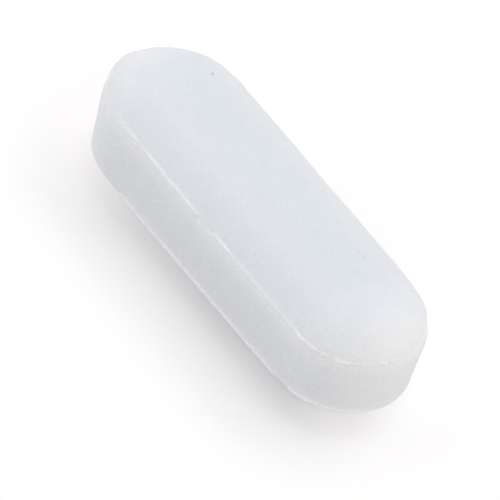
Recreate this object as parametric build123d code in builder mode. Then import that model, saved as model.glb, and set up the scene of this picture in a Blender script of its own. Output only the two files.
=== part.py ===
"""Magnetic stir bar: a rod magnet sealed inside a moulded white jacket.

Millimetres. +X runs along the bar and +Z is up. The origin is under the middle of the bar, on the
lowest line of its lower crown, where it lies on the floor of a vessel and spins about +Z.
"""

import os

from build123d import *

os.makedirs("parts", exist_ok=True)

# Rod magnet
magnet_length = 18.0
magnet_diameter = 5.0
magnet_edge_break = 0.4

# Room between the magnet and the jacket that is moulded round it
moulding_clearance = 0.02

# Jacket: its walls beyond the magnet at the ends, the sides and the top and bottom
end_wall = 3.48
side_wall = 1.63
crown_wall = 1.28

# Height of the crowned top above the edge of the upright band, and of the crowned underside below it
crown_rise = 1.75

# The band eases inwards over this height towards each of its two edges, by this much at the edge
ease_height = 1.0
ease_depth = 0.17

# Flash along the upper and lower edges of the band, where the two punches met the die
flash_radius = 0.08
flash_proud = 0.05

# Sizes of the jacket: 25 mm long, 8.3 mm wide and 7.6 mm high
pocket_radius = magnet_diameter / 2 + moulding_clearance
half_length = magnet_length / 2 + moulding_clearance + end_wall
half_width = pocket_radius + side_wall
middle_height = pocket_radius + crown_wall
bar_height = 2 * middle_height

# Places on the jacket's section
end_centre = half_length - half_width
edge_width = half_width - ease_depth
band_bottom = crown_rise
band_top = bar_height - crown_rise
flash_centre = edge_width + flash_proud - flash_radius

# The magnet lies along the middle of the bar
with BuildPart(Plane((0, 0, middle_height), x_dir=(0, 1, 0), z_dir=(1, 0, 0))) as bar_magnet:
    Cylinder(magnet_diameter / 2, magnet_length)
    chamfer(bar_magnet.edges().filter_by(GeomType.CIRCLE), magnet_edge_break)
bar_magnet.part.label = "bar_magnet"
export_step(bar_magnet.part, "parts/bar_magnet.step")

# Half of the jacket's section: a crown below, the upright band with its eased edges, a crown above,
# and a bead of flash on each edge of the band
with BuildSketch(Plane.YZ) as half_section:
    with BuildLine():
        lower_crown = TangentArc((0, 0), (edge_width, band_bottom), tangent=(1, 0))
        lower_ease = TangentArc(
            (half_width, band_bottom + ease_height), lower_crown @ 1, tangent=(0, -1)
        )
        upper_crown = TangentArc((0, bar_height), (edge_width, band_top), tangent=(1, 0))
        upper_ease = TangentArc(
            (half_width, band_top - ease_height), upper_crown @ 1, tangent=(0, 1)
        )
        Line(lower_ease @ 0, upper_ease @ 0)
        Line(upper_crown @ 0, lower_crown @ 0)
    make_face()
    with Locations((flash_centre, band_bottom), (flash_centre, band_top)):
        Circle(flash_radius)

# The section runs along the straight of the bar, then half a turn about the upright axis of each end
with BuildPart() as jacket:
    with BuildSketch(Plane.YZ):
        add(half_section.sketch_local)
        mirror(about=Plane.YZ)
    extrude(amount=end_centre, both=True)
    for side in (1, -1):
        with BuildSketch(Plane.YZ.offset(side * end_centre)):
            add(half_section.sketch_local)
        revolve(axis=Axis((side * end_centre, 0, 0), (0, 0, -side)), revolution_arc=180)
    offset(
        bar_magnet.part,
        amount=moulding_clearance,
        kind=Kind.INTERSECTION,
        mode=Mode.SUBTRACT,
    )
jacket.part.label = "jacket"
export_step(jacket.part, "parts/jacket.step")
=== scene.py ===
"""Looks of a magnetic stir bar: a rod magnet sealed in a moulded white jacket.

Metres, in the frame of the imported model: +X runs along the bar towards its near end, -Y is the
front and +Z is up. The origin is under the middle of the bar, on the floor that it lies on.
"""

from __future__ import annotations

import logging
import math
from dataclasses import dataclass, field
from enum import Enum
from typing import Callable, Iterable, Union

import bmesh
import bpy
from mathutils import Matrix, Vector, noise


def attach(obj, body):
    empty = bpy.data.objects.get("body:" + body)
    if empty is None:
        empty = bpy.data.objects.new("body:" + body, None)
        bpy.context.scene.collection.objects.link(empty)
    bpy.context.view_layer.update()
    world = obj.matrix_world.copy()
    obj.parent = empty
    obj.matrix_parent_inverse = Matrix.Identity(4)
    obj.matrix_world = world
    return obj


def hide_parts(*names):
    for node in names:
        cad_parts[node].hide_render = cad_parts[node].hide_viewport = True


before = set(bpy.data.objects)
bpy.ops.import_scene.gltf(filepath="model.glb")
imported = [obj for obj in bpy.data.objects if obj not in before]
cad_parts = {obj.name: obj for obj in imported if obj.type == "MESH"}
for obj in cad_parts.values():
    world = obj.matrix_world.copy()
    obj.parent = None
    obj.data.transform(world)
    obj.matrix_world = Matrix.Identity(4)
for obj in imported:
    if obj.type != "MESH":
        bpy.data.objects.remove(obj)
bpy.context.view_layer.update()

MM = 0.001
CLOUD_DEPTH = 4

Colour = tuple[float, float, float]
Point = tuple[float, float, float]
Value = Union[float, bpy.types.NodeSocket]
Tint = Union[Colour, bpy.types.NodeSocket]

logging.basicConfig(level=logging.INFO, format="%(name)s: %(message)s")
log = logging.getLogger("stir_bar")


class DieLine(Enum):
    """The two lines of flash, where the punches met the die, with the side of the band they are on."""

    UPPER = 1
    LOWER = -1


class End(Enum):
    """The two round ends of the bar, with the sign of their X."""

    NEAR = 1
    FAR = -1


@dataclass(frozen=True)
class Arc:
    """A circle of the jacket's section, by its centre out from the spine and up from the floor."""

    out: float
    up: float
    radius: float

    def crossing(self, other: Arc, side: int) -> float:
        """Finds where another circle crosses this one.

        Args:
            other: The other circle.
            side: 1 for the crossing on the left of the line to its centre, -1 for the one on the right.

        Returns:
            The crossing's angle on this circle, from straight outwards towards upwards.
        """
        out, up = other.out - self.out, other.up - self.up
        reach = math.hypot(out, up)
        spread = (reach**2 + self.radius**2 - other.radius**2) / (2.0 * reach * self.radius)
        return math.atan2(up, out) + side * math.acos(spread)


@dataclass(frozen=True)
class FlashRun:
    """A stretch of flash that was left standing.

    Places are lengths along the die line from the middle of the front, positive towards the near end.
    White is the share of painted highlight that the stretch gets.
    """

    start: float
    end: float
    stand: float
    fade: float = 0.5 * MM
    # painted highlight: how much whiter this stretch is painted where it catches the light
    white: float = 0.4

    def height(self, way: float) -> float:
        """How far the flash stands at a place.

        Args:
            way: Length along the die line from the middle of the front.

        Returns:
            A share of the full bead, from 0 to 1.
        """
        inside = min(way - self.start, self.end - way)
        ramp = min(max(inside / self.fade + 0.5, 0.0), 1.0)
        return self.stand * ramp * ramp * (3.0 - 2.0 * ramp)


@dataclass(frozen=True)
class Swell:
    """A stretch of the upper die line that leaves its true curve, backwards if depth is negative.

    Places are lengths along the die line, as those of a run of flash.
    """

    centre: float
    half_length: float
    depth: float

    def shift(self, way: float) -> float:
        """How far the line leaves its true curve at a place."""
        inside = 1.0 - min(abs(way - self.centre) / self.half_length, 1.0) ** 2
        return self.depth * inside**2


class NodeBoard:
    """The nodes of one material, added and joined step by step."""

    def __init__(self, name: str) -> None:
        """Starts a material with an empty node tree.

        Args:
            name: The material's name.
        """
        self.material = bpy.data.materials.new(name)
        self.material.use_nodes = True
        self.tree = self.material.node_tree
        self.tree.nodes.clear()

    def add(self, kind: str, **settings: object) -> bpy.types.Node:
        """Adds a node.

        Args:
            kind: The node's type name, such as ShaderNodeMath.
            **settings: Properties of the node to set.

        Returns:
            The new node.
        """
        node = self.tree.nodes.new(kind)
        for key, value in settings.items():
            setattr(node, key, value)
        return node

    def feed(self, socket: bpy.types.NodeSocket, value: Union[Value, tuple[float, ...]]) -> None:
        """Links a socket to another socket, or sets its value.

        Args:
            socket: The input to fill.
            value: An output socket, a number or a row of numbers.
        """
        if isinstance(value, bpy.types.NodeSocket):
            self.tree.links.new(value, socket)
        else:
            socket.default_value = value

    def math(self, operation: str, *values: Value) -> bpy.types.NodeSocket:
        """Adds a Math node.

        Args:
            operation: The node's operation, such as ADD.
            *values: Its inputs in order.

        Returns:
            The node's result.
        """
        node = self.add("ShaderNodeMath", operation=operation)
        for socket, value in zip(node.inputs, values):
            self.feed(socket, value)
        return node.outputs[0]

    def ramp(
        self, value: Value, low: float, high: float, first: float, last: float
    ) -> bpy.types.NodeSocket:
        """Maps a value smoothly from one range to another and holds it at both ends.

        Args:
            value: The value to map.
            low: The value that gives first.
            high: The value that gives last.
            first: The result at low.
            last: The result at high.

        Returns:
            The mapped value.
        """
        node = self.add("ShaderNodeMapRange", interpolation_type="SMOOTHSTEP")
        for socket, number in zip(node.inputs, (value, low, high, first, last)):
            self.feed(socket, number)
        return node.outputs[0]

    def mix(self, factor: Value, first: Tint, second: Tint) -> bpy.types.NodeSocket:
        """Mixes two colours.

        Args:
            factor: 0 gives the first colour and 1 the second.
            first: A colour or a colour socket.
            second: A colour or a colour socket.

        Returns:
            The mixed colour.
        """
        node = self.add("ShaderNodeMix", data_type="RGBA")
        self.feed(node.inputs["Factor"], factor)
        for socket, value in ((node.inputs[6], first), (node.inputs[7], second)):
            self.feed(socket, (*value, 1.0) if isinstance(value, tuple) else value)
        return node.outputs[2]

    def noise(self, place: bpy.types.NodeSocket, grain: float, detail: float) -> bpy.types.NodeSocket:
        """Adds a noise pattern.

        Args:
            place: The coordinates that it lies on.
            grain: The size of its spots, in metres.
            detail: How many finer octaves it has.

        Returns:
            The noise, about 0.5.
        """
        node = self.add("ShaderNodeTexNoise")
        self.feed(node.inputs["Vector"], place)
        self.feed(node.inputs["Scale"], 1.0 / grain)
        self.feed(node.inputs["Detail"], detail)
        return node.outputs[0]

    def oval(
        self, place: bpy.types.NodeSocket, centre: Point, half_size: Point, turn: float = 0.0
    ) -> bpy.types.NodeSocket:
        """Measures places from the middle of an oval.

        Args:
            place: The coordinates to measure.
            centre: The oval's middle.
            half_size: Half its size along its three axes.
            turn: Its turn about the upright.

        Returns:
            The distance as a share of the half size: 0 in the middle and 1 on the rim.
        """
        local = self.add("ShaderNodeMapping", vector_type="TEXTURE")
        self.feed(local.inputs["Vector"], place)
        self.feed(local.inputs["Location"], centre)
        self.feed(local.inputs["Rotation"], (0.0, 0.0, turn))
        self.feed(local.inputs["Scale"], half_size)
        length = self.add("ShaderNodeVectorMath", operation="LENGTH")
        self.feed(length.inputs[0], local.outputs[0])
        return length.outputs["Value"]

    def finish(self, shader: bpy.types.NodeSocket) -> bpy.types.Material:
        """Joins the shader to the material's output.

        Args:
            shader: The shader to show.

        Returns:
            The finished material.
        """
        output = self.add("ShaderNodeOutputMaterial")
        self.tree.links.new(shader, output.inputs["Surface"])
        return self.material


@dataclass(frozen=True)
class Mark:
    """A small mark on the crown: a soft-edged oval, turned about the upright."""

    centre: Point
    half_size: Point
    turn: float
    strength: float
    full_share: float = 0.35

    def mask(self, board: NodeBoard, place: bpy.types.NodeSocket) -> bpy.types.NodeSocket:
        """Paints the mark.

        Args:
            board: The material's nodes.
            place: Object coordinates.

        Returns:
            A factor from 0, clear, to the mark's strength.
        """
        away = board.oval(place, self.centre, self.half_size, self.turn)
        return board.ramp(away, self.full_share, 1.0, self.strength, 0.0)


@dataclass(frozen=True)
class JacketFinish:
    """Sintered white jacket: satin, finely grained, with the dark core showing faintly through it and a
    painted highlight on its flash.
    """

    white: Colour = (0.918, 0.909, 0.945)
    over_core: Colour = (0.767, 0.817, 0.884)
    # Painted highlight: the flash and the band's edges beside it are painted whiter, towards this
    # colour, where they catch the light.
    flash: Colour = (0.98, 0.972, 0.995)
    mark: Colour = (0.30, 0.36, 0.40)
    core_centre: Point = (-0.4 * MM, 0.11 * MM, 3.8 * MM)
    core_fade: tuple[float, float] = (7.65 * MM, 12.9 * MM)
    core_depth: tuple[float, float] = (3.68 * MM, 4.06 * MM)
    core_on_band: float = 0.56
    fine_grain: float = 0.09 * MM
    fine_detail: float = 2.0
    crown_speckle: float = 0.2
    band_speckle: float = 0.32
    band_edge: tuple[float, float] = (5.4 * MM, 6.2 * MM)
    soft_grain: float = 0.7 * MM
    soft_detail: float = 3.0
    cloud: float = 0.04
    bump_depth: float = 0.02 * MM
    bump_strength: float = 0.25
    soft_bump: float = 2.0
    roughness: float = 0.55
    roughness_spread: float = 0.1
    refraction: float = 1.36
    scatter: Colour = (1.0, 0.98, 0.95)
    scatter_depth: float = 1.6 * MM
    marks: tuple[Mark, ...] = (
        Mark((-8.19 * MM, 1.834 * MM, 7.277 * MM), (0.11 * MM, 0.19 * MM, 0.3 * MM), 0.785, 0.55),
        Mark((6.12 * MM, 1.42 * MM, 7.42 * MM), (0.22 * MM, 0.1 * MM, 0.25 * MM), 0.46, 0.2),
        Mark((6.52 * MM, 1.44 * MM, 7.4 * MM), (0.26 * MM, 0.1 * MM, 0.25 * MM), -0.1, 0.15),
        Mark((7.43 * MM, 0.27 * MM, 7.59 * MM), (0.3 * MM, 0.1 * MM, 0.25 * MM), -0.24, 0.13),
    )

    def build(self) -> bpy.types.Material:
        """Builds the material.

        Returns:
            The jacket's material.
        """
        board = NodeBoard("jacket_white")
        place = board.add("ShaderNodeTexCoord").outputs["Object"]
        fine = board.noise(place, self.fine_grain, self.fine_detail)
        soft = board.noise(place, self.soft_grain, self.soft_detail)
        colour = board.mix(self._core(board, place), self.white, self.over_core)
        # The mesh's flash attribute holds a painted highlight: how far each point is painted whiter
        # towards the flash colour.
        standing = board.add("ShaderNodeAttribute", attribute_name="flash").outputs["Fac"]
        colour = board.mix(standing, colour, self.flash)
        depth = board.math("SUBTRACT", 1.0, standing)
        for mark in self.marks:
            colour = board.mix(mark.mask(board, place), colour, self.mark)
        about_zero = board.math("SUBTRACT", fine, 0.5)
        speckle = board.math("MULTIPLY_ADD", about_zero, self._speckle(board, place), 1.0)
        cloud = board.math("MULTIPLY_ADD", soft, self.cloud, 1.0 - self.cloud / 2.0)
        shade = board.math("MULTIPLY", speckle, cloud)
        grained = board.add("ShaderNodeVectorMath", operation="SCALE")
        board.feed(grained.inputs[0], colour)
        board.feed(grained.inputs["Scale"], shade)
        surface = board.add("ShaderNodeBsdfPrincipled")
        board.feed(surface.inputs["Base Color"], grained.outputs[0])
        roughness = board.math("MULTIPLY_ADD", fine, self.roughness_spread, self.roughness)
        board.feed(surface.inputs["Roughness"], roughness)
        board.feed(surface.inputs["IOR"], self.refraction)
        board.feed(surface.inputs["Subsurface Weight"], depth)
        board.feed(surface.inputs["Subsurface Radius"], self.scatter)
        board.feed(surface.inputs["Subsurface Scale"], self.scatter_depth)
        bump = board.add("ShaderNodeBump")
        board.feed(bump.inputs["Strength"], self.bump_strength)
        board.feed(bump.inputs["Distance"], self.bump_depth)
        board.feed(bump.inputs["Height"], board.math("MULTIPLY_ADD", soft, self.soft_bump, fine))
        board.feed(surface.inputs["Normal"], bump.outputs[0])
        return board.finish(surface.outputs[0])

    def _speckle(self, board: NodeBoard, place: bpy.types.NodeSocket) -> bpy.types.NodeSocket:
        """Gives the grain's strength: more on the band, which slid along the die, than on the crowns.

        Args:
            board: The material's nodes.
            place: Object coordinates.

        Returns:
            The grain's share of the colour.
        """
        parts = board.add("ShaderNodeSeparateXYZ")
        board.feed(parts.inputs[0], place)
        return board.ramp(parts.outputs[2], *self.band_edge, self.band_speckle, self.crown_speckle)

    def _core(self, board: NodeBoard, place: bpy.types.NodeSocket) -> bpy.types.NodeSocket:
        """Paints how strongly the core shows through.

        Args:
            board: The material's nodes.
            place: Object coordinates.

        Returns:
            A factor from 0, no core, to 1.
        """
        shifted = board.add("ShaderNodeVectorMath", operation="SUBTRACT")
        board.feed(shifted.inputs[0], place)
        board.feed(shifted.inputs[1], self.core_centre)
        parts = board.add("ShaderNodeSeparateXYZ")
        board.feed(parts.inputs[0], shifted.outputs[0])
        along = board.ramp(board.math("ABSOLUTE", parts.outputs[0]), *self.core_fade, 1.0, 0.0)
        across = board.math("POWER", parts.outputs[1], 2.0)
        upright = board.math("POWER", parts.outputs[2], 2.0)
        reach = board.math("SQRT", board.math("ADD", across, upright))
        depth = board.ramp(reach, *self.core_depth, 1.0, self.core_on_band)
        return board.math("MULTIPLY", along, depth)


@dataclass(frozen=True)
class MagnetFinish:
    """Ground magnet alloy: dull grey with fine marks along the rod."""

    light: Colour = (0.34, 0.34, 0.35)
    dark: Colour = (0.24, 0.24, 0.25)
    grain: float = 0.25 * MM
    grain_detail: float = 4.0
    stretch: Point = (0.15, 1.0, 1.0)
    roughness: float = 0.42
    roughness_spread: float = 0.2

    def build(self) -> bpy.types.Material:
        """Builds the material.

        Returns:
            The magnet's material.
        """
        board = NodeBoard("magnet_grey")
        place = board.add("ShaderNodeTexCoord").outputs["Object"]
        along = board.add("ShaderNodeMapping")
        board.feed(along.inputs["Vector"], place)
        board.feed(along.inputs["Scale"], self.stretch)
        marks = board.noise(along.outputs[0], self.grain, self.grain_detail)
        surface = board.add("ShaderNodeBsdfPrincipled")
        board.feed(surface.inputs["Base Color"], board.mix(marks, self.dark, self.light))
        board.feed(surface.inputs["Metallic"], 1.0)
        roughness = board.math("MULTIPLY_ADD", marks, self.roughness_spread, self.roughness)
        board.feed(surface.inputs["Roughness"], roughness)
        return board.finish(surface.outputs[0])


@dataclass(frozen=True)
class PaintedLightSpot:
    """A soft oval of painted light on the table: a glow that lightens the bar's shadow there."""

    centre: Point
    half_size: Point
    lift: float

    def mask(self, board: NodeBoard, place: bpy.types.NodeSocket) -> bpy.types.NodeSocket:
        """Paints the spot of painted light.

        Args:
            board: The material's nodes.
            place: Object coordinates.

        Returns:
            A lift from 0, outside the spot, to the spot's own in its middle.
        """
        away = board.oval(place, self.centre, self.half_size)
        return board.ramp(away, 0.0, 1.0, self.lift, 0.0)


@dataclass(frozen=True)
class FloorFinish:
    """Matt white table that keeps the bar's shadow, with painted light that lightens it at both ends of
    the bar and behind it.
    """

    white: Colour = (0.868, 0.862, 0.86)
    warmth: Colour = (1.0, 0.95, 0.94)
    lift: float = 0.2
    # Painted light: ovals where the table glows paler, lightening the bar's shadow.
    painted_light_spots: tuple[PaintedLightSpot, ...] = (
        PaintedLightSpot((-10.0 * MM, 1.0 * MM, 0.0), (6.0 * MM, 8.5 * MM, 1.0 * MM), 0.247),
        PaintedLightSpot((-5.9 * MM, -2.3 * MM, 0.0), (8.5 * MM, 2.2 * MM, 1.0 * MM), 0.07),
        PaintedLightSpot((9.77 * MM, 0.0, 0.0), (2.73 * MM, 3.59 * MM, 1.0 * MM), 0.25),
        PaintedLightSpot((20.4 * MM, 13.2 * MM, 0.0), (30.0 * MM, 20.0 * MM, 1.0 * MM), 0.051),
    )

    def build(self) -> bpy.types.Material:
        """Builds the material.

        Returns:
            The floor's material.
        """
        board = NodeBoard("table_white")
        matt = board.add("ShaderNodeBsdfDiffuse")
        board.feed(matt.inputs["Color"], (*self.white, 1.0))
        place = board.add("ShaderNodeTexCoord").outputs["Object"]
        lift: Value = self.lift
        # each spot of painted light adds glow, seen only by the camera, that lightens the shadow there
        for spot in self.painted_light_spots:
            lift = board.math("ADD", lift, spot.mask(board, place))
        rays = board.add("ShaderNodeLightPath")
        seen = board.math("MAXIMUM", rays.outputs["Is Camera Ray"], rays.outputs["Is Glossy Ray"])
        seen = board.math("MAXIMUM", seen, rays.outputs["Is Transmission Ray"])
        glow = board.add("ShaderNodeEmission")
        board.feed(glow.inputs["Color"], (*self.warmth, 1.0))
        board.feed(glow.inputs["Strength"], board.math("MULTIPLY", seen, lift))
        both = board.add("ShaderNodeAddShader")
        board.feed(both.inputs[0], matt.outputs[0])
        board.feed(both.inputs[1], glow.outputs[0])
        return board.finish(both.outputs[0])


def start_piece(name: str) -> bpy.types.Object:
    """Takes the object that a primitive has just made and opens it for editing.

    Args:
        name: The piece's name.

    Returns:
        The object, in edit mode.
    """
    piece = bpy.context.active_object
    piece.name = name
    piece.data.name = name
    bpy.ops.object.mode_set(mode="EDIT")
    return piece


def select_edges(piece: bpy.types.Object, chosen: Callable[[Vector, Vector], bool]) -> None:
    """Selects edges by the places of their two ends.

    Args:
        piece: The object, in edit mode.
        chosen: Says whether an edge between two places is wanted.
    """
    bpy.ops.mesh.select_all(action="DESELECT")
    shape = bmesh.from_edit_mesh(piece.data)
    for edge in shape.edges:
        if chosen(edge.verts[0].co, edge.verts[1].co):
            edge.select_set(True)
    bmesh.update_edit_mesh(piece.data)


def push(piece: bpy.types.Object, weights: dict[int, float], depth: float, grain: float = 0.0) -> None:
    """Pushes weighted points out along their normals, or up and down by a cloudy pattern.

    Args:
        piece: The active object, in object mode.
        weights: Each point's index and its share of the depth.
        depth: How far to push, negative for inwards.
        grain: The size of the pattern's clouds, or 0 for an even push along the normals.
    """
    group = piece.vertex_groups.new(name="push")
    for index, weight in weights.items():
        group.add([index], weight, "REPLACE")
    shift = piece.modifiers.new("push", "DISPLACE")
    shift.vertex_group = group.name
    shift.strength = depth
    shift.mid_level = 0.0
    if grain:
        clouds = bpy.data.textures.new("push_clouds", "CLOUDS")
        clouds.noise_scale = grain
        clouds.noise_depth = CLOUD_DEPTH
        shift.texture = clouds
        shift.texture_coords = "LOCAL"
        shift.direction = "Z"
        shift.mid_level = 0.5
    bpy.ops.object.modifier_apply(modifier=shift.name)
    piece.vertex_groups.clear()


@dataclass
class Jacket:
    """The moulded jacket: a crowned caplet whose band eases in to a bead of flash at each edge."""

    half_length: float = 12.5 * MM
    half_width: float = 4.15 * MM
    height: float = 7.6 * MM
    crown_rise: float = 1.75 * MM
    ease_height: float = 1.0 * MM
    ease_depth: float = 0.17 * MM
    flash_radius: float = 0.11 * MM
    flash_proud: float = 0.05 * MM
    pocket_radius: float = 2.52 * MM
    pocket_half_length: float = 9.02 * MM
    pocket_edge_break: float = 0.41 * MM
    crown_steps: int = 18
    flash_steps: int = 12
    ease_steps: int = 16
    band_steps: int = 8
    end_steps: int = 144
    straight_cuts: tuple[int, ...] = (1, 91)
    uncut_share: float = 0.9
    pocket_steps: int = 96
    merge_distance: float = 0.001 * MM
    bead_tolerance: float = 0.02
    smooth_angle: float = 35.0
    lower_line_tilt: float = 0.314 * MM
    lower_far_inset: float = 0.131 * MM
    flash_grains: tuple[float, float] = (0.45 * MM, 0.17 * MM)
    flash_grain_row: float = 0.5
    ragged_shares: tuple[float, float, float] = (0.25, 0.5, 0.35)
    upper_ragged: float = 0.6
    lower_ragged: float = 0.1
    upper_fin: float = 0.07 * MM
    lower_fin: float = 0.105 * MM
    fin_onset: float = 3.0
    foot_taper: float = 0.16 * MM
    back_foot_taper: float = 0.06 * MM
    lower_rise: float = 0.045 * MM
    front_drop: float = 0.2 * MM
    front_drop_lean: float = 0.4
    back_rise: float = 0.07 * MM
    near_drop: Swell = Swell(11.8 * MM, 4.6 * MM, 0.15 * MM)
    near_drop_reach: float = 3.0 * MM
    upper_line_reach: float = 1.3 * MM
    # Painted highlight: the band is painted whiter along its edges next to each die line, and the flash
    # too, where they catch the light.
    upper_edge_highlight: float = 0.65
    lower_edge_highlight: float = 0.3
    edge_reach: float = 1.0 * MM
    edge_highlight_falloff: float = 1.5
    highlight_onset: float = 2.5
    highlight_reach: float = 0.12 * MM
    flare_reach: float = 0.2 * MM
    flare_share: float = 0.3
    edge_round: float = 0.05 * MM
    far_round: float = 0.04 * MM
    near_round: float = 0.1 * MM
    round_reach: float = 0.8 * MM
    round_crown: float = 2.0
    round_in: float = 0.86
    round_down: float = 0.51
    upper_wander: float = 0.13 * MM
    lower_wander: float = 0.03 * MM
    wander_grain: float = 1.1 * MM
    wander_reach: float = 0.4 * MM
    lower_jog: float = 0.07 * MM
    jog_run: FlashRun = FlashRun(8.6 * MM, 13.8 * MM, 1.0, 0.8 * MM)
    swells: tuple[Swell, ...] = (
        Swell(-13.4 * MM, 1.2 * MM, 0.17 * MM),
        Swell(-16.4 * MM, 2.3 * MM, -0.13 * MM),
        Swell(18.0 * MM, 1.8 * MM, 0.045 * MM),
        Swell(20.6 * MM, 2.0 * MM, -0.06 * MM),
    )
    shoulder_bulge: float = 0.1 * MM
    shoulder_width: float = 1.3 * MM
    shoulder_run: FlashRun = FlashRun(-17.0 * MM, -10.2 * MM, 1.0, 3.0 * MM)
    upper_flash: tuple[FlashRun, ...] = (
        FlashRun(-11.2 * MM, -8.6 * MM, 0.25, 1.2 * MM),
        FlashRun(-9.0 * MM, -5.5 * MM, 0.75, 1.6 * MM),
        FlashRun(-7.4 * MM, -0.85 * MM, 0.95),
        FlashRun(0.57 * MM, 2.4 * MM, 1.0),
        FlashRun(2.2 * MM, 8.5 * MM, 0.7, white=0.2),
        FlashRun(8.2 * MM, 9.9 * MM, 0.9, white=0.7),
        FlashRun(9.7 * MM, 10.9 * MM, 0.5, white=0.6),
        FlashRun(10.9 * MM, 11.9 * MM, 0.9, 0.3 * MM, 0.65),
        FlashRun(11.7 * MM, 13.5 * MM, 0.5, 0.4 * MM, 0.65),
        FlashRun(13.4 * MM, 14.0 * MM, 0.85, 0.3 * MM, 0.7),
        FlashRun(14.15 * MM, 14.8 * MM, 0.9, 0.25 * MM, 0.7),
        FlashRun(14.6 * MM, 17.0 * MM, 0.4, white=0.6),
        FlashRun(18.4 * MM, 31.0 * MM, 0.7, 1.5 * MM),
        FlashRun(-31.0 * MM, -16.2 * MM, 0.7, 3.0 * MM),
    )
    lower_flash: tuple[FlashRun, ...] = (
        FlashRun(-8.5 * MM, -6.2 * MM, 0.4, 1.0 * MM, 0.2),
        FlashRun(-6.8 * MM, 8.05 * MM, 1.0, 0.4 * MM, 1.0),
        FlashRun(7.9 * MM, 9.1 * MM, 0.5, 0.3 * MM, 0.0),
        FlashRun(8.95 * MM, 13.6 * MM, 1.0, white=1.0),
        FlashRun(13.2 * MM, 21.5 * MM, 0.3, 1.5 * MM, 1.0),
        FlashRun(21.0 * MM, 31.0 * MM, 0.8, 1.5 * MM, 1.0),
        FlashRun(-31.0 * MM, -20.8 * MM, 0.8, white=1.0),
        FlashRun(-20.0 * MM, -13.5 * MM, 0.5, white=1.0),
    )
    finish: JacketFinish = field(default_factory=JacketFinish)

    @property
    def end_centre(self) -> float:
        """Distance from the middle of the bar to the upright axis of each end."""
        return self.half_length - self.half_width

    @property
    def edge_width(self) -> float:
        """Distance from the bar's spine to the edges of the band."""
        return self.half_width - self.ease_depth

    def line_height(self, line: DieLine) -> float:
        """Height of a die line above the floor."""
        return self.height - self.crown_rise if line is DieLine.UPPER else self.crown_rise

    def crown(self, line: DieLine) -> Arc:
        """The circle of the crown beyond a die line."""
        radius = (self.edge_width**2 + self.crown_rise**2) / (2.0 * self.crown_rise)
        return Arc(0.0, self.height - radius if line is DieLine.UPPER else radius, radius)

    def bead(self, line: DieLine) -> Arc:
        """The circle of the bead of flash on a die line."""
        out = self.edge_width + self.flash_proud - self.flash_radius
        return Arc(out, self.line_height(line), self.flash_radius)

    def ease(self, line: DieLine) -> Arc:
        """The circle by which the band eases in towards a die line."""
        radius = (self.ease_height**2 + self.ease_depth**2) / (2.0 * self.ease_depth)
        up = self.line_height(line) - line.value * self.ease_height
        return Arc(self.half_width - radius, up, radius)

    def build(self) -> bpy.types.Object:
        """Models the jacket.

        Returns:
            The jacket's object.
        """
        piece = self._section()
        self._sweep()
        self._cut_straights(piece)
        self._close()
        self._pocket(piece)
        bpy.ops.object.mode_set(mode="OBJECT")
        self._shape_flash(piece)
        self._fill_shoulder(piece)
        self._settle(piece)
        bpy.ops.object.shade_smooth_by_angle(angle=math.radians(self.smooth_angle))
        return piece

    def dress(self, piece: bpy.types.Object) -> None:
        """Gives the jacket its finish and its place in the frame.

        Args:
            piece: The jacket's object.
        """
        piece.data.materials.append(self.finish.build())
        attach(piece, "root")
        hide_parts("jacket")

    def _section(self) -> bpy.types.Object:
        """Draws the front half of the section over the near end's axis, from crest to underside.

        Returns:
            The jacket's object, in edit mode.
        """
        bpy.ops.object.select_all(action="DESELECT")
        bpy.ops.mesh.primitive_plane_add(size=self.flash_radius, location=(0.0, 0.0, 0.0))
        piece = start_piece("jacket_shell")
        bpy.ops.mesh.merge(type="CENTER")
        bpy.ops.transform.translate(value=(self.end_centre, 0.0, self.height))
        crown, bead, ease = (arc(DieLine.UPPER) for arc in (self.crown, self.bead, self.ease))
        crown_turn = math.pi / 2.0 - crown.crossing(bead, 1)
        bead_turn = bead.crossing(crown, -1) % math.tau - bead.crossing(ease, 1)
        ease_turn = ease.crossing(bead, -1)
        self._turn(self.crown_steps, crown_turn, crown)
        self._turn(self.flash_steps, bead_turn, bead)
        self._turn(self.ease_steps, ease_turn, ease)
        drop = 2.0 * (self.crown_rise + self.ease_height) - self.height
        for _ in range(self.band_steps):
            step = (0.0, 0.0, drop / self.band_steps)
            bpy.ops.mesh.extrude_region_move(TRANSFORM_OT_translate={"value": step})
        self._turn(self.ease_steps, ease_turn, self.ease(DieLine.LOWER))
        self._turn(self.flash_steps, bead_turn, self.bead(DieLine.LOWER))
        self._turn(self.crown_steps, crown_turn, self.crown(DieLine.LOWER))
        return piece

    def _turn(self, steps: int, angle: float, arc: Arc) -> None:
        """Draws an arc of the section on from its last point.

        Args:
            steps: The number of edges.
            angle: The turn about an axis along the bar, from the top towards the front.
            arc: The circle to follow.
        """
        centre = (self.end_centre, -arc.out, arc.up)
        bpy.ops.mesh.spin(steps=steps, angle=angle, center=centre, axis=(-1.0, 0.0, 0.0))

    def _sweep(self) -> None:
        """Carries the section round both ends and along both straights."""
        bpy.ops.mesh.select_all(action="SELECT")
        for end in End:
            centre = (end.value * self.end_centre, 0.0, 0.0)
            bpy.ops.mesh.spin(
                steps=self.end_steps, angle=math.pi, center=centre, axis=(0.0, 0.0, -1.0)
            )
            run = (-2.0 * centre[0], 0.0, 0.0)
            bpy.ops.mesh.extrude_region_move(TRANSFORM_OT_translate={"value": run})

    def _cut_straights(self, piece: bpy.types.Object) -> None:
        """Divides the two straights into short lengths.

        Args:
            piece: The jacket's object, in edit mode.
        """
        uncut = self.uncut_share * self.end_centre
        for cuts in self.straight_cuts:
            select_edges(piece, lambda first, last: abs(first.x - last.x) > uncut)
            bpy.ops.mesh.subdivide(number_cuts=cuts)

    def _close(self) -> None:
        """Joins the sweep's seams and turns its faces outwards."""
        bpy.ops.mesh.select_all(action="SELECT")
        bpy.ops.mesh.remove_doubles(threshold=self.merge_distance)
        bpy.ops.mesh.normals_make_consistent(inside=False)

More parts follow.
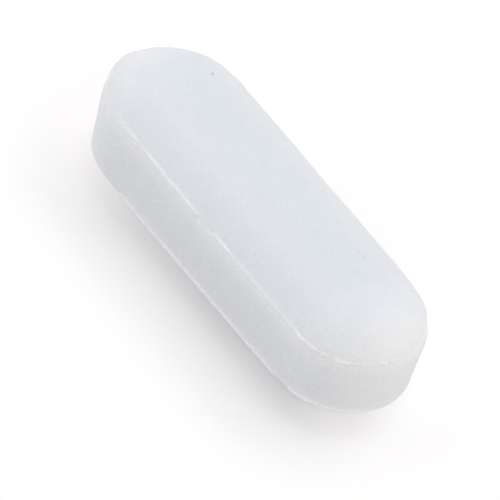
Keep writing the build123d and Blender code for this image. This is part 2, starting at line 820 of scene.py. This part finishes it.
    def _pocket(self, piece: bpy.types.Object) -> None:
        """Adds the sealed pocket that the magnet fills, with broken edges and its faces turned inwards.

        Args:
            piece: The jacket's object, in edit mode.
        """
        bpy.ops.mesh.select_all(action="DESELECT")
        bpy.ops.mesh.primitive_cylinder_add(
            vertices=self.pocket_steps,
            radius=self.pocket_radius,
            depth=2.0 * self.pocket_half_length,
            location=(0.0, 0.0, self.height / 2.0),
            rotation=(0.0, math.pi / 2.0, 0.0),
        )
        bpy.ops.mesh.flip_normals()
        select_edges(piece, self._along_pocket_rim)
        bpy.ops.mesh.bevel(offset=self.pocket_edge_break, segments=1, affect="EDGES")

    def _along_pocket_rim(self, first: Vector, last: Vector) -> bool:
        """Says whether an edge lies along the rim of one of the pocket's ends."""
        level = abs(first.x - last.x) < self.merge_distance
        return level and self._on_pocket_rim(first) and self._on_pocket_rim(last)

    def _on_pocket_rim(self, place: Vector) -> bool:
        """Says whether a place is on the rim of one of the pocket's ends."""
        reach = math.hypot(place.y, place.z - self.height / 2.0)
        at_end = abs(abs(place.x) - self.pocket_half_length) < self.merge_distance
        return at_end and abs(reach - self.pocket_radius) < self.merge_distance

    def _way(self, place: Vector) -> float:
        """Measures a place along the die line.

        Args:
            place: A point on the jacket.

        Returns:
            Its length from the middle of the front, positive towards the near end.
        """
        beyond = abs(place.x) - self.end_centre
        if beyond > 0.0:
            length = self.end_centre + self.edge_width * math.atan2(beyond, -place.y)
        elif place.y < 0.0:
            length = abs(place.x)
        else:
            length = self.end_centre + self.edge_width * math.pi - beyond
        return math.copysign(length, place.x)

    def _stand(self, line: DieLine, way: float) -> tuple[float, float]:
        """Says how far the flash was left standing, and how much painted highlight it gets.

        Args:
            line: The die line.
            way: Length along it from the middle of the front.

        Returns:
            A share of the full bead and a share of painted highlight towards the flash colour, each
            from 0 to 1.
        """
        runs = self.upper_flash if line is DieLine.UPPER else self.lower_flash
        rows = [Vector((way / grain, line.value, self.flash_grain_row)) for grain in self.flash_grains]
        coarse, fine = (noise.noise(row) for row in rows)
        share = self.upper_ragged if line is DieLine.UPPER else self.lower_ragged
        even_share, coarse_share, fine_share = self.ragged_shares
        lost = max(even_share + coarse_share * coarse + fine_share * fine, 0.0)
        whole = max(1.0 - share * lost, 0.0)
        stand = max(run.height(way) for run in runs)
        white = max(run.height(way) * run.white for run in runs)
        return stand * whole, white * whole

    def _trimmed(self, line: DieLine, out: float, up: float) -> float:
        """Says how much of the bead goes where its flash is trimmed off.

        Args:
            line: The die line.
            out: The point's place out from the bead's middle, as a share of its radius.
            up: The point's place up from the bead's middle, as a share of its radius.

        Returns:
            The share of the radius that lies outside the crown and the band.
        """
        corner = (self.flash_radius - self.flash_proud) / self.flash_radius
        crown, ease, bead = self.crown(line), self.ease(line), self.bead(line)
        flat = 1.0
        for arc in (crown, ease):
            level_out, level_up = self.edge_width - arc.out, bead.up - arc.up
            slope = level_out * out + level_up * up
            if slope > 0.0:
                flat = min(flat, corner * level_out / slope)
        return 1.0 - flat

    def _shape_flash(self, piece: bpy.types.Object) -> None:
        """Trims each bead to what was left of its flash, draws that out and lets it wander a little.

        A painted highlight is noted on the mesh for its finish: how much whiter the flash and the
        band's edges beside it are painted.

        Args:
            piece: The jacket's object.
        """
        bpy.ops.geometry.attribute_add(name="flash", domain="POINT", data_type="FLOAT")
        painted_highlights = [0.0] * len(piece.data.vertices)
        for line in DieLine:
            upper, bead = line is DieLine.UPPER, self.bead(line)
            line_highlight = self.upper_edge_highlight if upper else self.lower_edge_highlight
            trims, fins, strays = {}, {}, {}
            for vertex in piece.data.vertices:
                out, up = self._from_bead(bead, vertex.co)
                away = (math.hypot(out, up) - 1.0) * bead.radius
                if away > self.edge_reach:
                    continue
                stand, white = self._stand(line, self._way(vertex.co))
                drawn = stand if upper else stand * min(self.fin_onset * self._front(vertex.co), 1.0)
                strays[vertex.index] = max(1.0 - away / self.wander_reach, 0.0)
                if abs(away) < self.bead_tolerance * bead.radius:
                    trimmed = self._trimmed(line, out, up)
                    trims[vertex.index] = (1.0 - stand) * trimmed
                    fins[vertex.index] = drawn * max(out, 0.0) ** 2
                    # painted highlight on what stands of the bead
                    painted_highlights[vertex.index] = white * min(1.0, self.highlight_onset * trimmed)
                if out > 0.0 and up * line.value < 0.0:
                    # painted highlight along the band's edge beside the die line, and smeared out from
                    # the flash
                    edge = line_highlight * max(1.0 - away / self.edge_reach, 0.0) ** self.edge_highlight_falloff
                    smeared_highlight = white * max(1.0 - away / self.highlight_reach, 0.0)
                    painted_highlights[vertex.index] = max(painted_highlights[vertex.index], edge, smeared_highlight)
                    flare = max(1.0 - away / self.flare_reach, 0.0)
                    fins.setdefault(vertex.index, self.flare_share * drawn * flare**2)
            push(piece, trims, -bead.radius)
            push(piece, fins, self.upper_fin if upper else self.lower_fin)
            push(piece, strays, self.upper_wander if upper else self.lower_wander, self.wander_grain)
        piece.data.attributes["flash"].data.foreach_set("value", painted_highlights)

    def _fill_shoulder(self, piece: bpy.types.Object) -> None:
        """Fills out the crown's shoulder round the far end, where it meets the band almost smoothly.

        Args:
            piece: The jacket's object.
        """
        weights = {}
        for vertex in piece.data.vertices:
            place = vertex.co
            if place.z < self.line_height(DieLine.UPPER) or self._in_pocket(place):
                continue
            out = math.hypot(max(abs(place.x) - self.end_centre, 0.0), place.y)
            inside = (self.edge_width - out) / self.shoulder_width
            if 0.0 < inside < 1.0:
                share = self.shoulder_run.height(self._way(place))
                weights[vertex.index] = 4.0 * inside * (1.0 - inside) * share
        push(piece, weights, self.shoulder_bulge)

    def _from_bead(self, bead: Arc, place: Vector) -> tuple[float, float]:
        """Gives a place from the middle of a bead.

        Args:
            bead: The bead's circle in the section.
            place: A point on the jacket.

        Returns:
            How far out and up it is, as shares of the bead's radius.
        """
        beyond = max(abs(place.x) - self.end_centre, 0.0)
        out = math.hypot(beyond, place.y)
        return (out - bead.out) / bead.radius, (place.z - bead.up) / bead.radius

    def _front(self, place: Vector) -> float:
        """Says how far a place is to the front, from 0 at the spine and behind it to 1 at the front."""
        return min(max(-place.y / self.edge_width, 0.0), 1.0)

    def _foot_fill(self, place: Vector) -> float:
        """Says how far the foot of the band is filled out, to run straight down into its flash.

        Args:
            place: A point on the jacket.

        Returns:
            How far the point goes outwards, negative for inwards.
        """
        lower, ease = self.line_height(DieLine.LOWER), self.ease(DieLine.LOWER)
        taper = self.back_foot_taper + (self.foot_taper - self.back_foot_taper) * self._front(place)
        if place.z < lower:
            return (self.ease_depth - taper) * (place.z / lower) ** 2
        top = self.ease(DieLine.UPPER).up
        below = max(ease.up - place.z, 0.0)
        eased = ease.radius - math.sqrt(ease.radius**2 - below**2)
        return eased - taper * max(top - place.z, 0.0) / (top - lower)

    def _rounding(self, place: Vector) -> float:
        """Says how far the band's upper edge is worn back, most of all at the two ends.

        Args:
            place: A point on the jacket.

        Returns:
            How far the point goes in and down.
        """
        beyond = max(abs(place.x) - self.end_centre, 0.0)
        out = math.hypot(beyond, place.y)
        up = place.z - self.line_height(DieLine.UPPER)
        away = math.hypot(out - self.edge_width, up) * (self.round_crown if up > 0.0 else 1.0)
        near = max(1.0 - away / self.round_reach, 0.0) ** 2
        end_round = self.near_round if place.x > 0.0 else self.far_round
        return near * (self.edge_round + end_round * min(beyond / self.edge_width, 1.0))

    def _settle(self, piece: bpy.types.Object) -> None:
        """Gives the moulding its unevenness: a filled foot, soft edges and die lines out of true.

        Args:
            piece: The jacket's object.
        """
        for vertex in piece.data.vertices:
            place = vertex.co
            if self._in_pocket(place):
                continue
            way, low = self._way(place), self._low(place)
            along = place.x / self.half_length
            beyond = math.copysign(max(abs(place.x) - self.end_centre, 0.0), place.x)
            spoke = Vector((beyond, place.y, 0.0))
            swell = (1.0 - low) * min(spoke.length / self.edge_width, 1.0) ** 2
            rounding = self._rounding(place)
            out = self._foot_fill(place) + swell * sum(s.shift(way) for s in self.swells)
            out -= self.round_in * rounding
            rise = self._lower_line_rise(place, way)
            rise += self._upper_line_rise(place, way, spoke.length)
            rise -= self.round_down * rounding
            far_inset = low * self.lower_far_inset * (1.0 - along) / 2.0
            vertex.co = place + spoke.normalized() * out + Vector((far_inset, 0.0, rise))

    def _low(self, place: Vector) -> float:
        """Says how low a place is on the band, from 0 at the upper die line to 1 at the lower one."""
        lower, upper = self.line_height(DieLine.LOWER), self.line_height(DieLine.UPPER)
        return min(max((upper - place.z) / (upper - lower), 0.0), 1.0)

    def _lower_line_rise(self, place: Vector, way: float) -> float:
        """Says how far the lower die line's tilt and its step lift a place.

        Args:
            place: A point on the jacket.
            way: Its length along the die line from the middle of the front.

        Returns:
            How far the point goes up.
        """
        sink = min(place.z / self.line_height(DieLine.LOWER), 1.0)
        tilt = self.lower_line_tilt * place.x / self.half_length
        jog = self.lower_jog * self.jog_run.height(way)
        return self._low(place) * sink * (tilt + self.lower_rise + jog)

    def _upper_line_rise(self, place: Vector, way: float, reach: float) -> float:
        """Says how far the upper die line's bow and its drop at the near end move a place.

        Args:
            place: A point on the jacket.
            way: Its length along the die line from the middle of the front.
            reach: Its distance from the bar's spine.

        Returns:
            How far the point goes up, negative for down.
        """
        along = place.x / self.half_length
        upper = self.line_height(DieLine.UPPER)
        near_line = 1.0 - min(abs(place.z - upper) / self.upper_line_reach, 1.0) ** 2
        front_bow = self.front_drop * (1.0 + self.front_drop_lean * along)
        bow = self.back_rise if place.y > 0.0 else front_bow
        lift = bow * (1.0 - along**2) * near_line**2 * place.y / self.half_width
        inside = max(self.edge_width - reach, 0.0) / self.near_drop_reach
        rim = max(1.0 - inside, 0.0) ** 2 if place.z > upper else 1.0 - self._low(place)
        return lift - self.near_drop.shift(way) * rim

    def _in_pocket(self, place: Vector) -> bool:
        """Says whether a place is on the pocket's wall."""
        reach = math.hypot(place.y, place.z - self.height / 2.0)
        inside = abs(place.x) < self.pocket_half_length + self.merge_distance
        return inside and reach < self.pocket_radius + self.merge_distance


@dataclass
class BarMagnet:
    """The rod magnet inside the jacket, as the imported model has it."""

    node: str = "bar_magnet"
    finish: MagnetFinish = field(default_factory=MagnetFinish)

    def dress(self) -> bpy.types.Object:
        """Gives the magnet its finish.

        Returns:
            The magnet's object.
        """
        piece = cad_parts[self.node]
        piece.data.materials.clear()
        piece.data.materials.append(self.finish.build())
        return piece


@dataclass
class Table:
    """The white table that the bar lies on."""

    size: float = 1.2
    finish: FloorFinish = field(default_factory=FloorFinish)

    def build(self) -> bpy.types.Object:
        """Lays the table under the bar.

        Returns:
            The table's object.
        """
        bpy.ops.object.select_all(action="DESELECT")
        bpy.ops.mesh.primitive_plane_add(size=self.size, location=(0.0, 0.0, 0.0))
        top = bpy.context.active_object
        top.name = "table"
        top.data.materials.append(self.finish.build())
        return top


@dataclass(frozen=True)
class SoftBox:
    """A square lamp that faces the bar, placed by its bearing from +X towards +Y and its elevation."""

    name: str
    bearing: float
    elevation: float
    power: float
    distance: float = 0.6
    size: float = 0.35

    @property
    def place(self) -> Vector:
        """Where the lamp hangs."""
        bearing, elevation = math.radians(self.bearing), math.radians(self.elevation)
        level = self.distance * math.cos(elevation)
        up = self.distance * math.sin(elevation)
        return Vector((level * math.cos(bearing), level * math.sin(bearing), up))

    def hang(self) -> bpy.types.Object:
        """Hangs the lamp.

        Returns:
            The lamp's object.
        """
        bpy.ops.object.light_add(type="AREA", location=self.place)
        lamp = bpy.context.active_object
        lamp.name = self.name
        lamp.rotation_euler = self.place.to_track_quat("Z", "Y").to_euler()
        lamp.data.shape = "SQUARE"
        lamp.data.size = self.size
        lamp.data.energy = self.power
        return lamp


@dataclass
class Studio:
    """Soft studio light: a pale surround, a ring of lamps above and a low one at each end."""

    surround: Colour = (1.0, 1.0, 1.0)
    surround_level: float = 0.248
    lamps: tuple[SoftBox, ...] = (
        SoftBox("top_lamp", 20.0, 80.0, 0.46),
        SoftBox("near_lamp", 0.0, 50.0, 0.32),
        SoftBox("near_back_lamp", 45.0, 50.0, 0.44),
        SoftBox("back_lamp", 90.0, 50.0, 0.665),
        SoftBox("far_back_lamp", 135.0, 50.0, 0.36),
        SoftBox("far_lamp", 180.0, 50.0, 0.325),
        SoftBox("far_front_lamp", 232.0, 43.0, 0.125),
        SoftBox("near_front_lamp", 315.0, 43.0, 0.415),
        SoftBox("low_far_lamp", 224.0, 20.0, 0.08, 0.19, 0.11),
        SoftBox("low_near_lamp", 8.0, 9.0, 0.28),
    )

    def light(self) -> None:
        """Lights the scene."""
        scene = bpy.context.scene
        scene.view_settings.view_transform = "Standard"
        world = bpy.data.worlds.new("studio")
        world.use_nodes = True
        sky = world.node_tree.nodes["Background"]
        sky.inputs["Color"].default_value = (*self.surround, 1.0)
        sky.inputs["Strength"].default_value = self.surround_level
        scene.world = world
        for lamp in self.lamps:
            lamp.hang()


@dataclass
class PhotoCamera:
    """The camera, above the near end and turned so that the bar lies aslant."""

    place: Point = (150.72 * MM, -175.73 * MM, 232.93 * MM)
    right: Point = (0.57, 0.78919, 0.22866)
    up: Point = (-0.6802, 0.29712, 0.67011)
    lens: float = 432.0
    sensor: float = 36.0
    nearest: float = 0.01

    def set_up(self) -> bpy.types.Object:
        """Makes the camera and gives it to the scene.

        Returns:
            The camera's object.
        """
        bpy.ops.object.camera_add(location=self.place)
        camera = bpy.context.active_object
        right, up = Vector(self.right), Vector(self.up)
        axes = Matrix((right, up, right.cross(up))).transposed()
        camera.matrix_world = Matrix.Translation(self.place) @ axes.to_4x4()
        camera.data.lens = self.lens
        camera.data.sensor_width = self.sensor
        camera.data.clip_start = self.nearest
        bpy.context.scene.camera = camera
        return camera


def report(pieces: Iterable[bpy.types.Object]) -> None:
    """Logs each piece with its count of faces.

    Args:
        pieces: The objects to name.
    """
    for piece in pieces:
        log.info("%s: %d faces", piece.name, len(piece.data.polygons))


def main() -> None:
    """Builds the bar, the table, the light and the camera."""
    jacket = Jacket()
    shell = jacket.build()
    jacket.dress(shell)
    magnet = BarMagnet().dress()
    table = Table().build()
    Studio().light()
    PhotoCamera().set_up()
    report((shell, magnet, table))


if __name__ == "__main__":
    main()
